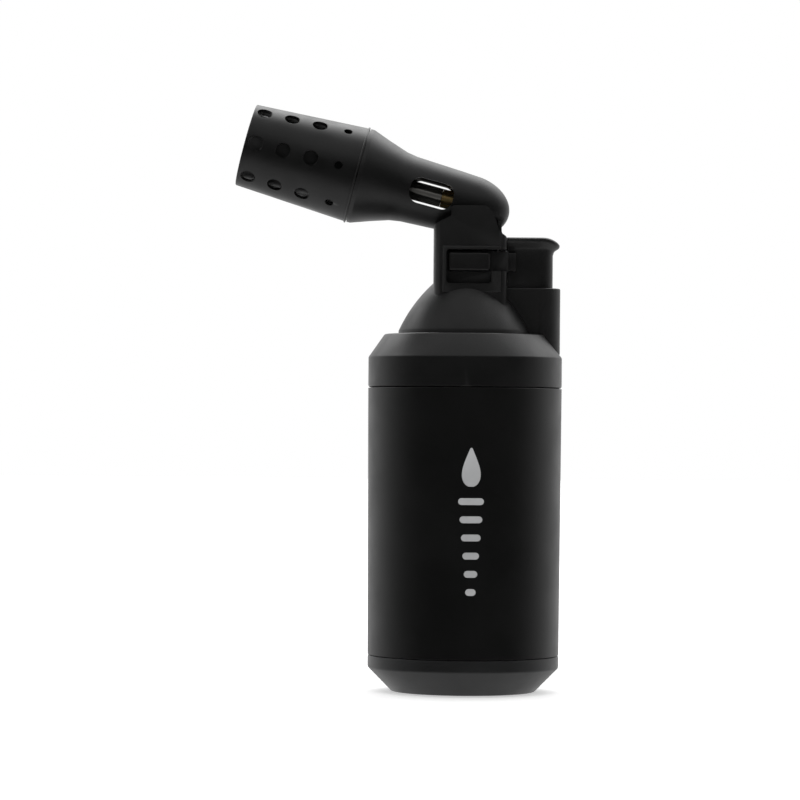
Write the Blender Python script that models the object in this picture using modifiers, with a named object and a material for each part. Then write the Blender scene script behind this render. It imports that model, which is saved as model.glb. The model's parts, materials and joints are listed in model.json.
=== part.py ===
"""Refillable butane torch with a slanted burner, a piezo trigger and a gas valve.

Lengths are in millimetres until they reach Blender, which gets metres.
Origin: centre of the flat underside, on the tank's axis.  +Z is up, the thumb
trigger is on the +X side and the burner points towards -X.
"""
import math

import bmesh
import bpy
from mathutils import Matrix, Vector

MM = 0.001
GAP = 0.3                     # space left between touching pieces
SEG_LARGE = 40
SEG_MEDIUM = 24
SEG_SMALL = 16
SEG_TINY = 12

# Body
BODY_R = 24.6
BODY_R_FOOT = 24.25
FOOT_FLAT_R = 18.2
FOOT_CHAMFER_Z = 6.1
FOOT_TOP_Z = 9.2
SLEEVE_TOP_Z = 76.7
SLEEVE_INNER_R = 23.4
RING_Z = 77.0
RING_CHAMFER_Z = 84.5
RING_TOP_Z = 90.6
RING_TOP_R = 20.4
TANK_R = 21.5
TANK_WALL = 1.6
TANK_TOP_Z = 79.0
LID_TOP_Z = 84.3

# Head: the dome is an arc turned about the tank's axis
DOME_ARC_X = -16.86
DOME_ARC_Z = 76.28
DOME_ARC_R = 37.1
DOME_WALL = 1.8
DOME_FOOT_Z = 91.4
NECK_FRONT_X = -8.2
NECK_BACK_X = 10.2
NECK_HALF_Y = 9.6
NECK_CAVITY_HALF_Y = 7.8
NECK_STEP_Z = 103.1           # above it the neck's back is open for the trigger's arms
NECK_LINTEL_Z = 111.8         # above that it is closed again
NECK_FRONT_CORNER = 3.0
NECK_BACK_CORNER = 1.6
WINDOW_FOOT_Z = 103.3
WINDOW_TOP_Z = 111.9
FRAME_TOP_Z = 112.8           # raised rim round each side window
FRAME_HALF_Y = 9.9
COLUMN_X = 24.05
COLUMN_HALF_Y = 6.2
COLUMN_NOSE_R = 5.6
COLUMN_WALL = 1.5
COLUMN_Z = 85.5
COLUMN_TOP_Z = 102.4

# Burner: its own axis, from the seam between the housing and the flame tube
SEAM_X = -27.4
SEAM_Z = 130.9
BURNER_TILT = math.radians(14.8)
FLAME_TUBE_LENGTH = 29.7
FLAME_TUBE_FRONT_R = 10.55
FLAME_TUBE_REAR_R = 12.2
FLAME_TUBE_WALL = 0.9
HOLE_ROWS = 7
HOLE_PHASE = math.radians(2)  # first row's bearing above the -Y side
HOLE_STATIONS = ((2.8, 1.9), (9.9, 1.9), (17.1, 1.9), (24.4, 1.05))   # from the front, radius
SLOT_CENTRE = -19.1
SLOT_LENGTH = 11.2
SLOT_WIDTH = 6.6

# Trigger and valve train
TRIGGER_TRAVEL = 3.0
TRIGGER_TOP_Z = 115.2
TRIGGER_HALF_Y = 4.4
TRIGGER_BACK_X = 22.1
TRIGGER_FRONT_X = 10.4
LIP_DROOP_X = 19.5            # the button's top slopes down behind this line
LIP_DROOP = 0.077             # millimetres down for each square millimetre behind it
ARM_INNER_Y = 5.9
ARM_OUTER_Y = 7.5
ARM_TOP_Z = 111.5
PIEZO_X = 16.2
VALVE_X = 5.0
LEVER_PIN_X = 2.6
LEVER_PIN_Z = 98.5
LEVER_ARM = 6.3               # from the pin to the front bar that the trigger presses
STEM_FLANGE_Z = 100.4
REFILL_X = -10.0
SHELL_SCREW = (-8.0, 93.8)
HOUSING_SCREW = (-3.9, 115.2)

SIDES = (("left", -1), ("right", 1))    # the left side is towards -Y
COLLECTION = "butane_torch"
CUTTERS = "cutters"

MATERIALS = {
    "matt_black": ((0.012, 0.012, 0.013), 0.55, 0.0),
    "satin_black": ((0.020, 0.020, 0.022), 0.42, 0.0),
    "black_metal": ((0.018, 0.018, 0.020), 0.40, 0.6),
    "tank_plastic": ((0.30, 0.31, 0.32), 0.45, 0.0),
    "brass": ((0.78, 0.57, 0.25), 0.30, 1.0),
    "nickel": ((0.72, 0.71, 0.68), 0.18, 1.0),
    "steel": ((0.55, 0.55, 0.56), 0.32, 1.0),
    "rubber": ((0.02, 0.02, 0.02), 0.80, 0.0),
    "ceramic": ((0.86, 0.84, 0.78), 0.40, 0.0),
    "hose": ((0.10, 0.10, 0.11), 0.60, 0.0),
    "wire_red": ((0.45, 0.03, 0.03), 0.50, 0.0),
    "white_plastic": ((0.75, 0.74, 0.70), 0.45, 0.0),
}


# ------------------------------------------------------------------ scene
def clear_scene():
    for existing in list(bpy.data.objects):
        bpy.data.objects.remove(existing, do_unlink=True)


def new_collection(name):
    collection = bpy.data.collections.new(name)
    bpy.context.scene.collection.children.link(collection)
    return collection


def make_materials():
    for name, (colour, roughness, metallic) in MATERIALS.items():
        material = bpy.data.materials.new(name)
        material.use_nodes = True
        shader = material.node_tree.nodes["Principled BSDF"]
        shader.inputs["Base Color"].default_value = (*colour, 1.0)
        shader.inputs["Roughness"].default_value = roughness
        shader.inputs["Metallic"].default_value = metallic


def place(name, mesh, material=None, at=(0, 0, 0), turn=(0, 0, 0), parent=None):
    """Put a mesh in the scene: a part when it has a material, else a cutter."""
    made = bpy.data.objects.new(name, mesh)
    made.location = Vector(at) * MM
    made.rotation_euler = turn
    made.parent = parent
    if material is None:
        bpy.data.collections[CUTTERS].objects.link(made)
        made.hide_render = True
        made.display_type = "WIRE"
    else:
        bpy.data.collections[COLLECTION].objects.link(made)
        mesh.materials.append(bpy.data.materials[material])
    return made


def burner_frame():
    """Empty on the seam whose local +Z runs along the burner towards the flame."""
    frame = bpy.data.objects.new("burner_axis", None)
    frame.location = Vector((SEAM_X, 0, SEAM_Z)) * MM
    frame.rotation_euler = (0, BURNER_TILT - math.pi / 2, 0)
    bpy.data.collections[COLLECTION].objects.link(frame)
    return frame


# ------------------------------------------------------------------ shapes
def outline_area(points):
    pairs = zip(points, points[1:] + points[:1])
    return sum(a[0] * b[1] - b[0] * a[1] for a, b in pairs) / 2


def turned(name, outline, segments, material=None, **where):
    """Solid of revolution about local Z from an outline of (radius, z) points.

    An outline whose ends lie on the axis is left open there; any other outline
    is closed.  Either way it runs down its outer side.
    """
    points = list(outline)
    if outline_area(points) > 0:
        points.reverse()
    closed = points[0][0] > 0 or points[-1][0] > 0
    edges = [(i, i + 1) for i in range(len(points) - 1)]
    if closed:
        edges.append((len(points) - 1, 0))
    mesh = bpy.data.meshes.new(name)
    mesh.from_pydata([(r * MM, 0, z * MM) for r, z in points], edges, [])
    made = place(name, mesh, material, **where)
    screw = made.modifiers.new("turn", "SCREW")
    screw.axis = "Z"
    screw.angle = 2 * math.pi
    screw.steps = segments
    screw.render_steps = segments
    screw.use_merge_vertices = True
    screw.merge_threshold = 0.000001
    screw.use_smooth_shade = False
    return made


def arc(centre, radius, start, end, steps):
    """Points on a circle, angles in degrees, both ends included."""
    angles = [math.radians(start + (end - start) * i / steps) for i in range(steps + 1)]
    return [(centre[0] + radius * math.cos(a), centre[1] + radius * math.sin(a)) for a in angles]


def rounded_rectangle(low, high, radius, steps=4):
    corners = (
        ((high[0] - radius, high[1] - radius), 0),
        ((low[0] + radius, high[1] - radius), 90),
        ((low[0] + radius, low[1] + radius), 180),
        ((high[0] - radius, low[1] + radius), 270),
    )
    points = []
    for centre, start in corners:
        points += arc(centre, radius, start, start + 90, steps)
    return points


def nosed_outline(front, back, half, nose, steps=6):
    """Plan outline with a square front and a round back, as (x, y) points."""
    points = arc((back - nose, half - nose), nose, 90, 0, steps)
    points += arc((back - nose, nose - half), nose, 0, -90, steps)
    return [(front, -half), (front, half)] + points


def prism_mesh(name, outline, low, high):
    """Flat outline filled as a 2D curve and extruded along local Z."""
    flat = bpy.data.curves.new(name, "CURVE")
    flat.dimensions = "2D"
    flat.fill_mode = "BOTH"
    flat.extrude = (high - low) / 2 * MM
    spline = flat.splines.new("POLY")
    spline.points.add(len(outline) - 1)
    for point, (x, y) in zip(spline.points, outline):
        point.co = (x * MM, y * MM, 0, 1)
    spline.use_cyclic_u = True
    return mesh_from_curve(name, flat, Matrix.Translation((0, 0, (high + low) / 2 * MM)))


def mesh_from_curve(name, curve, shift=None):
    guide = bpy.data.objects.new(name + "_guide", curve)
    bpy.context.scene.collection.objects.link(guide)
    evaluated = guide.evaluated_get(bpy.context.evaluated_depsgraph_get())
    mesh = bpy.data.meshes.new_from_object(evaluated)
    bpy.data.objects.remove(guide, do_unlink=True)
    work = bmesh.new()
    work.from_mesh(mesh)
    bmesh.ops.remove_doubles(work, verts=work.verts, dist=0.000001)
    bmesh.ops.recalc_face_normals(work, faces=work.faces)
    work.to_mesh(mesh)
    work.free()
    mesh.materials.clear()
    if shift:
        mesh.transform(shift)
    return mesh


def prism(name, outline, low, high, material=None, side_view=False, **where):
    """Outline in plan (x, y) raised from low to high, or in side view (x, z) along Y."""
    if not side_view:
        return place(name, prism_mesh(name, outline, low, high), material, **where)
    mesh = prism_mesh(name, outline, -high, -low)
    mesh.transform(Matrix.Rotation(math.pi / 2, 4, "X"))
    return place(name, mesh, material, **where)


def box(name, low, high, material=None, bevel=0.0, **where):
    mesh = bpy.data.meshes.new(name)
    work = bmesh.new()
    bmesh.ops.create_cube(work, size=1.0)
    size = [(b - a) * MM for a, b in zip(low, high)]
    middle = [(a + b) / 2 * MM for a, b in zip(low, high)]
    bmesh.ops.scale(work, vec=size, verts=work.verts)
    bmesh.ops.translate(work, vec=middle, verts=work.verts)
    work.to_mesh(mesh)
    work.free()
    made = place(name, mesh, material, **where)
    if bevel:
        rounding = made.modifiers.new("edges", "BEVEL")
        rounding.width = bevel * MM
        rounding.segments = 2
        rounding.limit_method = "ANGLE"
    return made


def rod(name, radius, low, high, at, segments=SEG_SMALL, material=None, along="Y", **where):
    """Cylinder along world Y (or local Z), from low to high, its axis through at."""
    mesh = bpy.data.meshes.new(name)
    work = bmesh.new()
    bmesh.ops.create_cone(
        work, cap_ends=True, segments=segments,
        radius1=radius * MM, radius2=radius * MM, depth=(high - low) * MM,
    )
    bmesh.ops.translate(work, vec=(0, 0, (high + low) / 2 * MM), verts=work.verts)
    work.to_mesh(mesh)
    work.free()
    if along == "Y":
        mesh.transform(Matrix.Rotation(-math.pi / 2, 4, "X"))
    mesh.transform(Matrix.Translation(Vector(at) * MM))
    return place(name, mesh, material, **where)


def loft(name, rings, material=None, **where):
    """Closed solid through rings of equal point counts, given bottom to top."""
    mesh = bpy.data.meshes.new(name)
    work = bmesh.new()
    loops = [[work.verts.new(Vector(p) * MM) for p in ring] for ring in rings]
    count = len(loops[0])
    for lower, upper in zip(loops, loops[1:]):
        for i in range(count):
            j = (i + 1) % count
            work.faces.new((lower[i], lower[j], upper[j], upper[i]))
    work.faces.new(loops[0][::-1])
    work.faces.new(loops[-1])
    bmesh.ops.recalc_face_normals(work, faces=work.faces)
    work.to_mesh(mesh)
    work.free()
    return place(name, mesh, material, **where)


def smooth_route(points, per_span):
    """Catmull-Rom curve through the points."""
    ends = [points[0] * 2 - points[1], points[-1] * 2 - points[-2]]
    padded = [ends[0]] + points + [ends[1]]
    route = []
    for a, b, c, d in zip(padded, padded[1:], padded[2:], padded[3:]):
        for i in range(per_span):
            t = i / per_span
            route.append(
                (2 * b + (c - a) * t + (2 * a - 5 * b + 4 * c - d) * t * t
                 + (3 * b - 3 * c + d - a) * t ** 3) / 2
            )
    return route + [points[-1]]


def wire(name, points, radius, material, capped=True, **where):
    """Round bar along a list of points in millimetres."""
    path = bpy.data.curves.new(name, "CURVE")
    path.dimensions = "3D"
    path.bevel_depth = radius * MM
    path.bevel_resolution = 2
    path.use_fill_caps = capped
    spline = path.splines.new("POLY")
    spline.points.add(len(points) - 1)
    for point, position in zip(spline.points, points):
        point.co = (*(Vector(position) * MM), 1)
    return place(name, path, material, **where)


def coil_points(radius, low, high, turns, per_turn=8):
    """Helix about local Z."""
    count = int(turns * per_turn)
    points = []
    for i in range(count + 1):
        angle = 2 * math.pi * i / per_turn
        height = low + (high - low) * i / count
        points.append((radius * math.cos(angle), radius * math.sin(angle), height))
    return points


# ------------------------------------------------------------------ joining and cutting
def combine(target, other, operation):
    modifier = target.modifiers.new(operation.lower(), "BOOLEAN")
    modifier.operation = operation
    modifier.object = other
    modifier.solver = "EXACT"


def cut(target, *others):
    for other in others:
        combine(target, other, "DIFFERENCE")


def join(target, *others):
    for other in others:
        combine(target, other, "UNION")


# ------------------------------------------------------------------ body
def make_base_cap():
    cap = turned("base_cap", [
        (0, 3.0), (19.2, 3.0), (22.1, 6.5), (22.1, 12.5), (23.1, 12.5), (23.1, FOOT_TOP_Z),
        (BODY_R_FOOT, FOOT_TOP_Z), (BODY_R_FOOT, FOOT_CHAMFER_Z + 0.7),
        (BODY_R_FOOT - 0.35, FOOT_CHAMFER_Z - 0.15), (FOOT_FLAT_R + 0.35, 0.25),
        (FOOT_FLAT_R - 0.4, 0), (0, 0),
    ], SEG_LARGE, "matt_black")
    refill_well = rod("refill_well", 4.6, -1, 4, (REFILL_X, 0, 0), along="Z")
    adjuster_well = rod("adjuster_well", 3.2, -1, 4, (VALVE_X, 0, 0), along="Z")
    cut(cap, refill_well, adjuster_well)


def make_sleeve():
    turned("outer_sleeve", [
        (SLEEVE_INNER_R, SLEEVE_TOP_Z), (BODY_R - 0.2, SLEEVE_TOP_Z), (BODY_R, SLEEVE_TOP_Z - 0.25),
        (BODY_R_FOOT, FOOT_TOP_Z + 0.55), (BODY_R_FOOT - 0.2, FOOT_TOP_Z + GAP),
        (SLEEVE_INNER_R, FOOT_TOP_Z + GAP),
    ], SEG_LARGE, "matt_black")


def make_shoulder_ring(column_room):
    ring = turned("shoulder_ring", [
        (17.3, RING_TOP_Z), (RING_TOP_R - 0.25, RING_TOP_Z), (RING_TOP_R + 0.1, RING_TOP_Z - 0.25),
        (BODY_R - 0.35, RING_CHAMFER_Z + 0.45), (BODY_R, RING_CHAMFER_Z - 0.4),
        (BODY_R, RING_Z), (23.1, RING_Z), (23.1, 73.5), (21.9, 73.5), (21.9, 84.2),
        (20.2, 87.4), (17.3, 87.4),
    ], SEG_LARGE, "satin_black")
    cut(ring, column_room)


def make_tank():
    inner = TANK_R - TANK_WALL
    tank = turned("fuel_tank", [
        (inner, TANK_TOP_Z), (TANK_R, TANK_TOP_Z), (TANK_R, 6.9), (18.6, 3.3), (0, 3.3),
        (0, 5.3), (17.8, 5.3), (inner, 7.9),
    ], SEG_MEDIUM, "tank_plastic")
    refill_hole = rod("refill_hole", 3.5, 2, 7, (REFILL_X, 0, 0), along="Z")
    valve_hole = rod("valve_hole", 3.0, 2, 7, (VALVE_X, 0, 0), along="Z")
    cut(tank, refill_hole, valve_hole)
    lid = turned("tank_lid", [
        (0, LID_TOP_Z - 2), (16.0, LID_TOP_Z - 2), (16.0, LID_TOP_Z), (TANK_R, LID_TOP_Z),
        (TANK_R, TANK_TOP_Z + GAP), (19.5, TANK_TOP_Z + GAP), (19.5, 78.4), (17.8, 78.4),
        (17.8, 76.2), (19.5, 76.2), (19.5, 75.5), (16.2, 75.5), (16.2, TANK_TOP_Z + GAP),
        (0, TANK_TOP_Z + GAP),
    ], SEG_MEDIUM, "tank_plastic")
    boss = rod("lid_boss", 6.6, 76, 86.0, (VALVE_X, 0, 0), SEG_MEDIUM, along="Z")
    bore = rod("lid_bore", 4.1, 70, 90, (VALVE_X, 0, 0), SEG_MEDIUM, along="Z")
    join(lid, boss)
    cut(lid, bore)
    turned("tank_seal", arc((18.85, 77.3), 0.75, 0, 300, 5), SEG_MEDIUM, "rubber")


# ------------------------------------------------------------------ head
def dome_outline(inset, foot_r, foot_z, top_z):
    """Dome profile from the axis at the top down to its foot."""
    radius = DOME_ARC_R - inset
    start = math.degrees(math.asin((top_z - DOME_ARC_Z) / radius))
    end = math.degrees(math.asin((DOME_FOOT_Z - DOME_ARC_Z) / radius))
    points = arc((DOME_ARC_X, DOME_ARC_Z), radius, start, end, 8)
    return [(0, top_z)] + points + [(foot_r, foot_z), (0, foot_z)]


def column_outline(growth):
    return nosed_outline(8.0, COLUMN_X + growth, COLUMN_HALF_Y + growth, COLUMN_NOSE_R + growth)


def neck_side_outline():
    """Side view of the neck: front rim, raised cheek, sloping back."""
    return [
        (NECK_FRONT_X, 95), (NECK_BACK_X, 95), (NECK_BACK_X, 114.9), (9.9, 115.3), (8.6, 116.2),
        (7.9, 117.2), (7.5, 119.0), (6.4, 121.2), (5.2, 122.7), (4.6, 122.9), (-3.4, 122.9),
        (-3.9, 122.4), (-3.9, 120.4), (NECK_FRONT_X, 118.2),
    ]


def neck_plan_outline():
    """The neck from above; its front corners are rounder than its back ones."""
    front, back, half = NECK_FRONT_X, NECK_BACK_X, NECK_HALF_Y
    points = []
    for x, y, radius, start in (
        (back, half, NECK_BACK_CORNER, 0), (front, half, NECK_FRONT_CORNER, 90),
        (front, -half, NECK_FRONT_CORNER, 180), (back, -half, NECK_BACK_CORNER, 270),
    ):
        inward = (math.copysign(radius, x), math.copysign(radius, y))
        points += arc((x - inward[0], y - inward[1]), radius, start, start + 90, 4)
    return points


def make_head_cavity():
    """Everything hollow inside the head, less the bosses that stand in it."""
    half, wall = NECK_CAVITY_HALF_Y, COLUMN_WALL
    cavity = turned("dome_cavity", dome_outline(DOME_WALL, 15.2, 83.0, 104.0), SEG_LARGE)
    neck_room = prism("neck_room", [
        (-6.5, 95), (8.7, 95), (8.7, NECK_STEP_Z), (11.5, NECK_STEP_Z), (11.5, NECK_LINTEL_Z),
        (8.0, NECK_LINTEL_Z), (8.0, 130), (-6.5, 130),
    ], -half, half, side_view=True)
    column_room = prism("column_room", nosed_outline(
        7.0, COLUMN_X - wall, COLUMN_HALF_Y - wall, COLUMN_NOSE_R - wall), 87.2, 104)
    piezo_room = box("piezo_room", (12.2, -3.7, 83.5), (20.3, 3.7, 90))
    join(cavity, neck_room, column_room, piezo_room)
    for tag, side in SIDES:
        pin_boss = rod("pin_boss_" + tag, 1.5, 3.6, 12, (LEVER_PIN_X, 0, LEVER_PIN_Z))
        lug_boss = rod("lug_boss_" + tag, 1.6, 4.3, 12, (HOUSING_SCREW[0], 0, HOUSING_SCREW[1]))
        pin_boss.scale.y = side
        lug_boss.scale.y = side
        cut(cavity, pin_boss, lug_boss)
    shell_boss = rod("shell_boss", 2.9, -20, 20, (SHELL_SCREW[0], 0, SHELL_SCREW[1]))
    cut(cavity, shell_boss)
    return cavity


def make_head_shell(name, side, tools):
    shell = turned(name, [
        (0, 105.0), (7.4, 104.3)] + dome_outline(0, 16.95, 87.1, 103.6)[1:-1] + [
        (19.4, 87.1), (19.4, 84.6), (0, 84.6)], SEG_LARGE, "matt_black")
    join(shell, tools["neck"], tools["column"])
    cut(shell, tools["cavity"], tools["arm_room"], tools["pad_window"], tools["arm_window"],
        tools["pin_hole"])
    seam, far = -side * GAP / 2, -side * 40
    other_half = box(name + "_room", (-40, min(-seam, far), 60), (40, max(-seam, far), 140))
    cut(shell, other_half)
    if side > 0:
        cut(shell, tools["shell_screw_room"], tools["housing_screw_room"])
    cut(shell, tools["shell_pilot"], tools["housing_pilot"])
    return shell


def make_head(burner):
    neck = prism("neck_outer", neck_side_outline(), -20, 20, side_view=True)
    combine(neck, prism("neck_plan", neck_plan_outline(), 90, 130), "INTERSECT")
    frame = box("window_frame", (-6.0, -FRAME_HALF_Y, 101.0), (8.6, FRAME_HALF_Y, FRAME_TOP_Z),
                bevel=0.25)
    join(neck, frame)
    saddle = prism("arm_saddle", [
        (7.0, 111), (9.3, 111), (9.3, 115.6), (8.9, 116.5), (8.8, 119.4), (7.0, 119.4),
    ], -6.5, 6.5, side_view=True)
    join(neck, saddle)
    tools = {
        "neck": neck,
        "column": prism("column_outer", column_outline(0), COLUMN_Z, COLUMN_TOP_Z),
        "cavity": make_head_cavity(),
        "arm_room": turned("arm_room", housing_outline(GAP), SEG_MEDIUM, parent=burner),
        "pad_window": box("pad_window", (-5.1, -12, WINDOW_FOOT_Z), (6.3, 12, WINDOW_TOP_Z), bevel=0.7),
        "arm_window": box("arm_window", (5.3, -12, 106.4), (12, 12, WINDOW_TOP_Z - 0.05)),
        "pin_hole": rod("pin_hole", 1.0, -7.5, 7.5, (LEVER_PIN_X, 0, LEVER_PIN_Z), SEG_TINY),
        "shell_screw_room": rod("shell_screw_room", 2.3, 7.5, 16, (SHELL_SCREW[0], 0, SHELL_SCREW[1])),
        "shell_pilot": rod("shell_pilot", 1.2, -8, 8, (SHELL_SCREW[0], 0, SHELL_SCREW[1]), SEG_TINY),
        "housing_screw_room": rod("housing_screw_room", 2.0, 8.2, 12,
                                  (HOUSING_SCREW[0], 0, HOUSING_SCREW[1])),
        "housing_pilot": rod("housing_pilot", 1.2, -8.4, 9, (HOUSING_SCREW[0], 0, HOUSING_SCREW[1]),
                             SEG_TINY),
    }
    make_head_shell("head_shell_left", -1, tools)
    make_head_shell("head_shell_right", 1, tools)


def make_screw(name, at, head_r, head_low, head_high, tip):
    """Pan-head screw along Y with a slot, its head on the +Y side."""
    screw = turned(name, [
        (0, head_high), (head_r * 0.7, head_high), (head_r, head_high - 0.4), (head_r, head_low),
        (0.85, head_low), (0.85, tip + 0.8), (0.3, tip), (0, tip),
    ], SEG_TINY, "steel", at=(at[0], 0, at[1]), turn=(-math.pi / 2, 0, 0))
    slot = box(name + "_slot", (at[0] - 3, head_high - 0.5, at[1] - 0.25),
               (at[0] + 3, head_high + 1, at[1] + 0.25))
    cut(screw, slot)


# ------------------------------------------------------------------ burner
def housing_outline(growth):
    """Arm and cone about the burner axis; the flame side is at z = 0."""
    end = [(10.9 + growth) * math.sin(math.radians(a)) for a in (90, 75, 60, 45, 30, 15)]
    cap = [((7.75 + growth) * math.cos(math.radians(a)), -28.6 - e)
           for a, e in zip((90, 75, 60, 45, 30, 15), end)]
    cap[0] = (0, cap[0][1])
    return [(0, growth), (12.2 + growth, growth), (12.2 + growth, -0.9), (10.55 + growth, -5.5),
            (8.95 + growth, -10.4), (8.5 + growth, -13.2), (7.95 + growth, -25.0)] + cap[::-1]


def make_housing(burner):
    housing = turned("burner_housing", housing_outline(0), SEG_MEDIUM, "satin_black", parent=burner)
    lug = box("arm_lug", (-6.1, -4.0, 112.9), (-1.7, 4.0, 120))
    cavity = turned("arm_cavity", [
        (0, 1), (11.2, 1), (11.2, -3.0), (10.4, -3.0), (9.0, -6.2), (7.3, -10.6), (6.9, -13.5),
        (6.35, -25.0), (6.1, -29.0), (5.1, -33.5), (3.2, -36.4), (0, -37.6),
    ], SEG_MEDIUM, parent=burner)
    floor_opening = box("arm_floor_opening", (0.6, -5.0, 108), (7.6, 5.0, 119.2))
    lug_hole = rod("lug_hole", 1.2, -6, 6, (HOUSING_SCREW[0], 0, HOUSING_SCREW[1]), SEG_TINY)
    half_length = SLOT_LENGTH / 2
    slot = prism("air_slot", rounded_rectangle(
        (SLOT_CENTRE - half_length, -SLOT_WIDTH / 2), (SLOT_CENTRE + half_length, SLOT_WIDTH / 2),
        2.6), -12, 12, parent=burner)
    slot.rotation_euler = Matrix(((0, 1, 0), (0, 0, 1), (1, 0, 0))).to_euler()
    join(housing, lug)
    cut(housing, cavity, floor_opening, lug_hole, slot)


def make_flame_tube(burner):
    wall = FLAME_TUBE_WALL
    front = FLAME_TUBE_FRONT_R
    rear = FLAME_TUBE_REAR_R
    tube = turned("flame_tube", [
        (front - wall, FLAME_TUBE_LENGTH), (front - 0.2, FLAME_TUBE_LENGTH),
        (front + 0.02, FLAME_TUBE_LENGTH - 0.3), (rear, 0.75), (rear + 0.3, 0.65), (rear + 0.3, GAP),
        (10.9, GAP), (10.9, -2.7), (10.2, -2.7), (10.2, 1.2), (rear - wall, 2.4),
    ], 4 * HOLE_ROWS, "black_metal", parent=burner)
    cut(tube, make_hole_drills(burner))


def make_hole_drills(burner):
    """All the radial drills of the flame tube, as one cutter of separate bars."""
    work = bmesh.new()
    for station, radius in HOLE_STATIONS:
        for row in range(HOLE_ROWS):
            bearing = HOLE_PHASE + 2 * math.pi * row / HOLE_ROWS
            outward = Vector((math.sin(bearing), -math.cos(bearing), 0))
            middle = outward * 12 + Vector((0, 0, FLAME_TUBE_LENGTH - station))
            aim = outward.to_track_quat("Z", "X").to_matrix().to_4x4()
            bmesh.ops.create_cone(
                work, cap_ends=True, segments=10, radius1=radius * MM, radius2=radius * MM,
                depth=8 * MM, matrix=Matrix.Translation(middle * MM) @ aim,
            )
    mesh = bpy.data.meshes.new("flame_tube_drills")
    work.to_mesh(mesh)
    work.free()
    return place("flame_tube_drills", mesh, parent=burner)


def make_burner_inside(burner):
    cup = turned("burner_cup", [
        (8.3, 29.2), (8.3, 15.8), (9.6, 15.8), (9.6, 15.0), (8.3, 15.0), (8.3, 2.0), (9.9, 2.0),
        (9.9, 1.0), (8.3, 1.0), (7.6, -2.0), (3.9, -8.4), (3.9, -12.5), (2.7, -12.5), (2.7, -8.6),
        (6.9, -1.6), (7.6, 1.6), (7.6, 29.2),
    ], SEG_MEDIUM, "steel", parent=burner)
    bore = rod("insulator_bore", 1.5, -14, 4, (3.7, 3.7, 0), SEG_TINY, along="Z", parent=burner)
    cut(cup, bore)
    holder = turned("flame_holder", [(0, 7.6), (7.3, 7.6), (7.3, 6.2), (0, 6.2)], SEG_MEDIUM,
                    "brass", parent=burner, turn=(0, 0, math.radians(5)))
    cut(holder, rod("centre_port", 1.2, 5, 9, (0, 0, 0), 8, along="Z", parent=burner))
    for index in range(8):
        bearing = math.radians(45 * index)
        at = (5.23 * math.cos(bearing), 5.23 * math.sin(bearing), 0)
        cut(holder, rod("port_%d" % index, 0.9, 5, 9, at, 8, along="Z", parent=burner))
    turned("mixing_tube", [(1.8, -9.8), (2.4, -9.8), (2.4, -21.5), (1.8, -21.5)], SEG_MEDIUM,
           "nickel", parent=burner)
    turned("gas_jet", [
        (0.35, -19.4), (0.7, -19.4), (1.3, -20.6), (1.3, -21.8), (2.4, -21.8), (2.4, -25.2),
        (2.9, -25.2), (2.9, -27.4), (0.85, -27.4), (0.85, -30.6), (0.35, -30.6),
    ], SEG_SMALL, "brass", parent=burner)
    turned("electrode_insulator", [
        (0.62, 5.0), (1.15, 5.0), (1.15, -12.4), (0.62, -12.4),
    ], SEG_TINY, "ceramic", at=(3.7, 3.7, 0), parent=burner)


def burner_to_world(points):
    frame = Matrix.Translation((SEAM_X, 0, SEAM_Z)) @ Matrix.Rotation(
        BURNER_TILT - math.pi / 2, 4, "Y")
    return [frame @ Vector(p) for p in points]


def make_wires_and_hose():
    tip = burner_to_world([(3.7, 3.7, -12.0), (3.7, 3.7, 4.0), (3.7, 3.7, 10.0), (3.3, 3.3, 12.2),
                           (2.0, 2.0, 13.4)])
    wire("electrode_wire", tip, 0.3, "nickel")
    inside_arm = burner_to_world([(3.4, 4.0, -29.0), (3.7, 3.7, -24.0), (3.7, 3.7, -13.5)])
    route = [Vector(p) for p in (
        (12.4, 2.0, 92.0), (10.4, 3.0, 93.5), (9.2, 3.4, 97.0), (8.8, 3.6, 102.0),
        (8.4, 3.6, 108.0), (5.9, 3.5, 113.0), (4.8, 3.1, 117.0), (3.6, 2.9, 120.5))]
    wire("ignition_wire", smooth_route(route + inside_arm, 2), 0.6, "wire_red")
    hose_end = burner_to_world([(0, 0, -30.6), (0, 0, -28.0)])
    bend = [Vector(p) for p in (
        (VALVE_X, 0, 102.9), (VALVE_X, 0, 107.0), (5.1, 0, 112.0), (5.5, 0, 117.0), (5.2, 0, 120.1))]
    hose = wire("gas_hose", smooth_route(bend + hose_end, 3), 1.7, "hose", capped=False)
    shell = hose.modifiers.new("wall", "SOLIDIFY")
    shell.thickness = 0.5 * MM
    shell.offset = -1


# ------------------------------------------------------------------ trigger and piezo
def trigger_ring(height, growth):
    """Plan outline of the button; a ring that belongs to the lip droops at its back."""
    outline = nosed_outline(TRIGGER_FRONT_X, TRIGGER_BACK_X + growth, TRIGGER_HALF_Y + growth,
                            3.9 + growth * 0.9)
    droop = LIP_DROOP if growth else 0
    return [(x, y, height - droop * max(0, x - LIP_DROOP_X) ** 2) for x, y in outline]


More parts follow.
